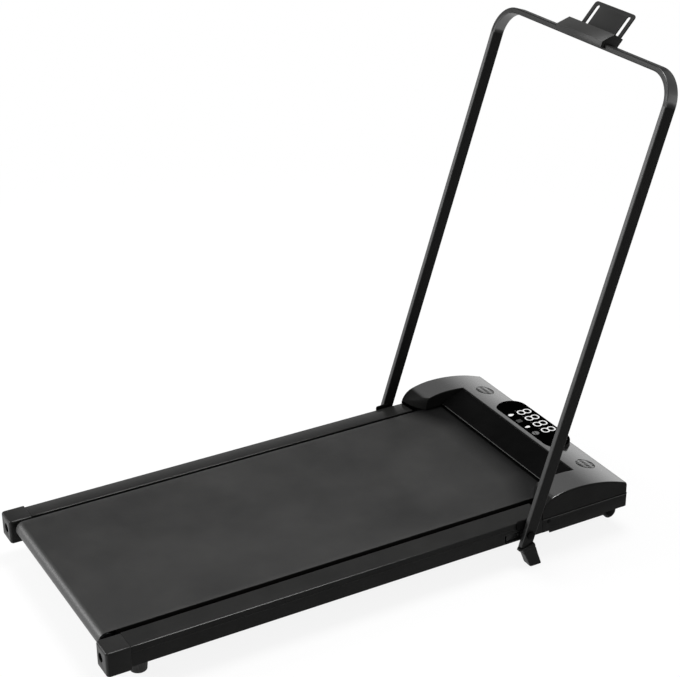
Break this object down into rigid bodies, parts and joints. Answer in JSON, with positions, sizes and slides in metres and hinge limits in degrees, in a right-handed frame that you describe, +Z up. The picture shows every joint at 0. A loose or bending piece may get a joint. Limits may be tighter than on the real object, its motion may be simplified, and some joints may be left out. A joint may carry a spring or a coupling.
{
  "type": "walking pad",
  "caption": "Flat motorised walking pad: belt deck between side rails, low hood with a display, folding handrail with a phone holder on its top bar.",
  "frame": {"origin": "middle of the box, on the floor under the feet", "axes": "+X to the walker's right, +Y forward to the hood, +Z up"},
  "size_m": [0.5466, 1.1433, 0.9237],
  "materials": {
    "painted_frame": "semi-gloss black paint",
    "cover_plastic": "polished charcoal",
    "cap_plastic": "fine texture, black",
    "board_wood": "dark coated fibreboard",
    "cushion_rubber": "matt black",
    "belt_rubber": "fine woven texture, black",
    "drive_rubber": "matt black",
    "bright_steel": "ground",
    "roller_steel": "turned",
    "dark_screws": "blackened",
    "cast_blocks": "as machined",
    "pulley_alloy": "machined",
    "motor_paint": "satin black",
    "circuit_board": "solder mask",
    "hood_gloss": "polished charcoal",
    "pan_plastic": "fine texture, black",
    "lens_gloss": "polished black window",
    "grille_plastic": "fine texture",
    "switch_plastic": "black",
    "wheel_plastic": "black",
    "fork_steel": "black paint",
    "rail_paint": "satin black powder coat",
    "bush_plastic": "natural",
    "boot_rubber": "moulded, dark grey",
    "holder_plastic": "fine texture, black"
  },
  "bodies": {
    "deck": {"frame_rail_left": "painted_frame", "frame_rail_right": "painted_frame", "cross_members": "painted_frame", "motor_mount": "painted_frame", "foot_bars": "painted_frame", "rear_brackets": "painted_frame", "rail_cover_left": "cover_plastic", "rail_cover_right": "cover_plastic", "rear_cap_left": "cap_plastic", "rear_cap_right": "cap_plastic", "deck_board": "board_wood", "deck_cushions": "cushion_rubber", "rear_feet": "cushion_rubber", "front_feet": "cushion_rubber", "walking_belt": "belt_rubber", "drive_belt": "drive_rubber", "rear_axle": "bright_steel", "front_axle": "bright_steel", "deck_screws": "bright_steel", "hood_screws": "dark_screws", "pivot_bolts": "dark_screws", "rear_axle_blocks": "cast_blocks", "front_axle_blocks": "cast_blocks", "heat_sink": "pulley_alloy", "motor_can": "motor_paint", "control_board": "circuit_board", "display_board": "circuit_board", "hood_cover": "hood_gloss", "hood_base": "pan_plastic", "inner_panel": "pan_plastic", "display_pod": "pan_plastic", "display_lens": "lens_gloss", "speaker_grilles": "grille_plastic", "speaker_drivers": "grille_plastic", "switch_housing": "switch_plastic", "mains_inlet": "switch_plastic", "wheel_forks": "fork_steel", "hinge_brackets": "fork_steel"},
    "handrail": {"upright_left": "rail_paint", "upright_right": "rail_paint", "top_bar": "rail_paint", "pivot_bushes": "bush_plastic", "handrail_boots": "boot_rubber", "phone_holder": "holder_plastic", "holder_clamp": "holder_plastic", "holder_screws": "dark_screws"},
    "phone_plate": {"phone_plate": "holder_plastic"},
    "front_roller": {"front_roller": "roller_steel", "front_bearings": "bright_steel", "drive_pulley": "pulley_alloy"},
    "rear_roller": {"rear_roller": "roller_steel", "rear_bearings": "bright_steel"},
    "motor_rotor": {"motor_armature": "bright_steel", "motor_pulley": "pulley_alloy"},
    "wheel_left": {"wheel_left": "wheel_plastic"},
    "wheel_right": {"wheel_right": "wheel_plastic"},
    "power_rocker": {"power_rocker": "switch_plastic"},
    "reset_button": {"reset_button": "switch_plastic"},
    "adjuster_left": {"adjuster_screw_left": "dark_screws"},
    "adjuster_right": {"adjuster_screw_right": "dark_screws"}
  },
  "joints": [
    {"name": "handrail_fold", "type": "hinge", "parent": "deck", "child": "handrail", "pos_m": [0, 0.2424, 0.0614], "axis": [1, 0, 0], "range_deg": [0, 108]},
    {"name": "phone_plate_slide", "type": "slide", "parent": "handrail", "child": "phone_plate", "axis": [0, 0.6678, 0.7443], "range_m": [-0.035, 0]},
    {"name": "front_roller_spin", "type": "hinge", "parent": "deck", "child": "front_roller", "pos_m": [0, 0.3744, 0.0729], "axis": [1, 0, 0], "continuous": true},
    {"name": "rear_roller_spin", "type": "hinge", "parent": "deck", "child": "rear_roller", "pos_m": [0, -0.5476, 0.0729], "axis": [1, 0, 0], "continuous": true},
    {"name": "motor_spin", "type": "hinge", "parent": "deck", "child": "motor_rotor", "pos_m": [0, 0.4314, 0.0745], "axis": [1, 0, 0], "continuous": true},
    {"name": "wheel_left_spin", "type": "hinge", "parent": "deck", "child": "wheel_left", "pos_m": [-0.225, 0.4454, 0.0325], "axis": [1, 0, 0], "continuous": true},
    {"name": "wheel_right_spin", "type": "hinge", "parent": "deck", "child": "wheel_right", "pos_m": [0.225, 0.4454, 0.0325], "axis": [1, 0, 0], "continuous": true},
    {"name": "power_rocker_tip", "type": "hinge", "parent": "deck", "child": "power_rocker", "pos_m": [0.243, 0.2114, 0.05795], "axis": [0, 0, 1], "range_deg": [-6, 6]},
    {"name": "reset_button_press", "type": "slide", "parent": "deck", "child": "reset_button", "axis": [-1, 0, 0], "range_m": [0, 0.002], "stiffness_N_per_m": 400, "springref_m": -0.001},
    {"name": "adjuster_left_turn", "type": "hinge", "parent": "deck", "child": "adjuster_left", "pos_m": [-0.225, -0.5616, 0.0654], "axis": [0, 1, 0], "range_deg": [-720, 720]},
    {"name": "adjuster_right_turn", "type": "hinge", "parent": "deck", "child": "adjuster_right", "pos_m": [0.225, -0.5616, 0.0654], "axis": [0, 1, 0], "range_deg": [-720, 720]}
  ],
  "couplings": [
    {"joint": "rear_roller_spin", "follows": "front_roller_spin", "ratio": 1},
    {"joint": "motor_spin", "follows": "front_roller_spin", "ratio": 2.5}
  ]
}
